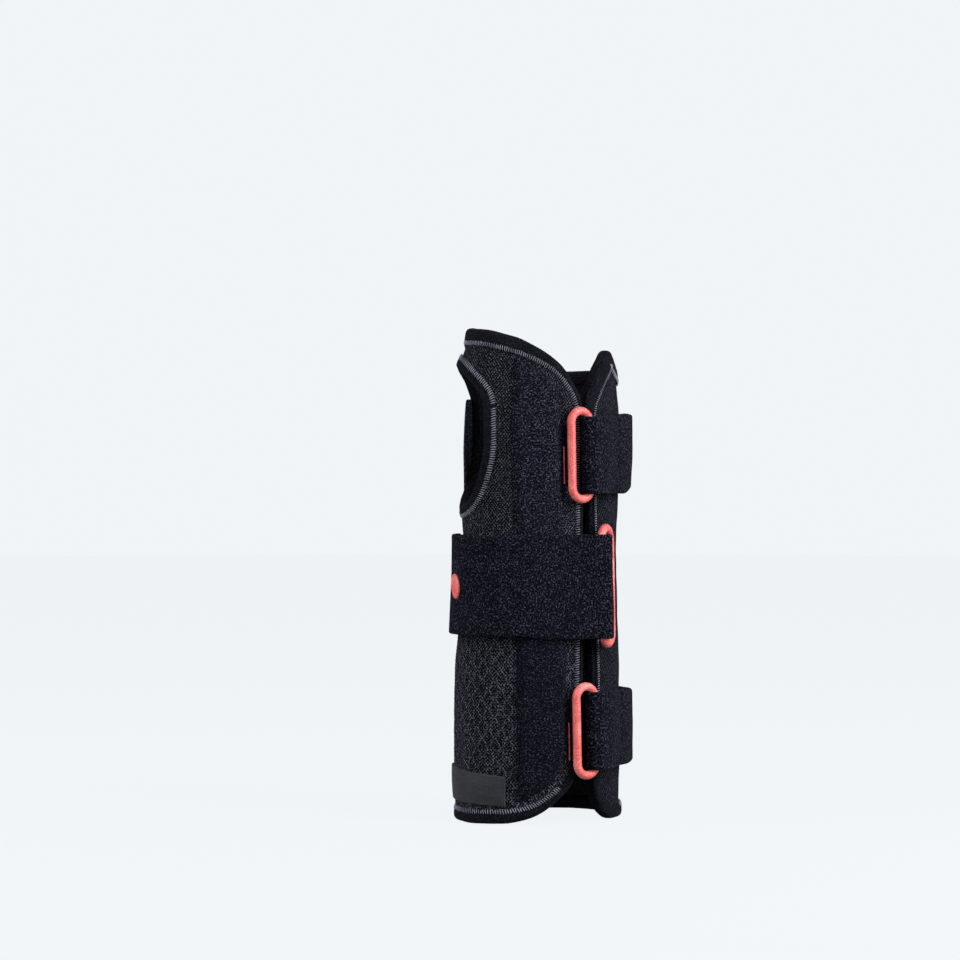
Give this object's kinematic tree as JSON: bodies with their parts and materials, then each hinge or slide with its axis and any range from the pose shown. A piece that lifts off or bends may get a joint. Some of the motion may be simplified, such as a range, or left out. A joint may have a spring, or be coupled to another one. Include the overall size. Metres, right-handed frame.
{
  "type": "wrist splint",
  "caption": "Right-hand wrist splint: a sewn wrap with a thumb hole, dorsal slit, stays, and straps that turn back through plastic rings.",
  "frame": {"origin": "middle of the forearm opening, on the plane of the straight proximal hem", "axes": "+Z from the forearm hem towards the fingers, -Y back of the hand, +Y palm, -X thumb side, +X little-finger side"},
  "size_m": [0.0873, 0.0735, 0.2052],
  "materials": {
    "spacer_mesh": "matt knitted spacer mesh with a raised honeycomb",
    "ribbed_knit": "matt ribbed elastic knit",
    "terry_lining": "soft matt lining",
    "binding_tape": "smooth folded elastic tape",
    "loop_fabric": "brushed loop pile",
    "strap_plush": "brushed loop pile with pale fibres",
    "hook_tape": "moulded hook tape",
    "coral_plastic": "satin coral red, finely grained",
    "stay_plastic": "smooth black plastic",
    "stay_metal": "brushed malleable metal",
    "label_satin": "woven satin label with a plain pale stripe"
  },
  "bodies": {
    "wrap": {"radial_panel": "spacer_mesh", "radial_lining": "terry_lining", "ulnar_panel": "ribbed_knit", "ulnar_lining": "terry_lining", "radial_edge_binding": "binding_tape", "ulnar_edge_binding": "binding_tape", "thumb_binding": "binding_tape", "dorsal_tongue": "spacer_mesh", "dorsal_stay_pocket": "loop_fabric", "dorsal_stay": "stay_plastic", "volar_loop_panel": "loop_fabric", "volar_stay_pocket": "loop_fabric", "volar_seam_tape": "binding_tape", "woven_label": "label_satin", "ring_flange_distal": "coral_plastic", "ring_flange_wrist": "coral_plastic", "ring_flange_proximal": "coral_plastic", "strap_base_distal": "strap_plush", "strap_base_wrist": "strap_plush", "strap_base_proximal": "strap_plush"},
    "ring_distal": {"ring_distal": "coral_plastic"},
    "strap_distal": {"strap_distal": "strap_plush", "hook_tab_distal": "hook_tape"},
    "ring_wrist": {"ring_wrist": "coral_plastic"},
    "strap_wrist": {"strap_wrist": "strap_plush", "hook_tab_wrist": "hook_tape", "strap_button": "coral_plastic", "button_backing": "stay_plastic"},
    "ring_proximal": {"ring_proximal": "coral_plastic"},
    "strap_proximal": {"strap_proximal": "strap_plush", "hook_tab_proximal": "hook_tape"},
    "volar_stay": {"volar_stay": "stay_metal"}
  },
  "joints": [
    {"name": "ring_distal_hinge", "type": "hinge", "parent": "wrap", "child": "ring_distal", "pos_m": [-0.00789, -0.02993, 0.15229], "axis": [0, -0.0268, -0.9996], "range_deg": [0, 40]},
    {"name": "strap_distal_peel", "type": "hinge", "parent": "ring_distal", "child": "strap_distal", "pos_m": [0.00189, -0.03036, 0.15231], "axis": [0, -0.0268, -0.9996], "range_deg": [0, 60]},
    {"name": "ring_wrist_hinge", "type": "hinge", "parent": "wrap", "child": "ring_wrist", "pos_m": [0.01354, -0.03019, 0.09798], "axis": [0, 0.0268, 0.9996], "range_deg": [0, 40]},
    {"name": "strap_wrist_peel", "type": "hinge", "parent": "ring_wrist", "child": "strap_wrist", "pos_m": [0.00481, -0.03465, 0.0981], "axis": [0, 0.0268, 0.9996], "range_deg": [0, 60]},
    {"name": "ring_proximal_hinge", "type": "hinge", "parent": "wrap", "child": "ring_proximal", "pos_m": [-0.00779, -0.03293, 0.03849], "axis": [0, -0.0268, -0.9996], "range_deg": [0, 40]},
    {"name": "strap_proximal_peel", "type": "hinge", "parent": "ring_proximal", "child": "strap_proximal", "pos_m": [0.00199, -0.03345, 0.03851], "axis": [0, -0.0268, -0.9996], "range_deg": [0, 60]},
    {"name": "volar_stay_slide", "type": "slide", "parent": "wrap", "child": "volar_stay", "axis": [0, -0.0463, 0.9989], "range_m": [0, 0.15]}
  ]
}
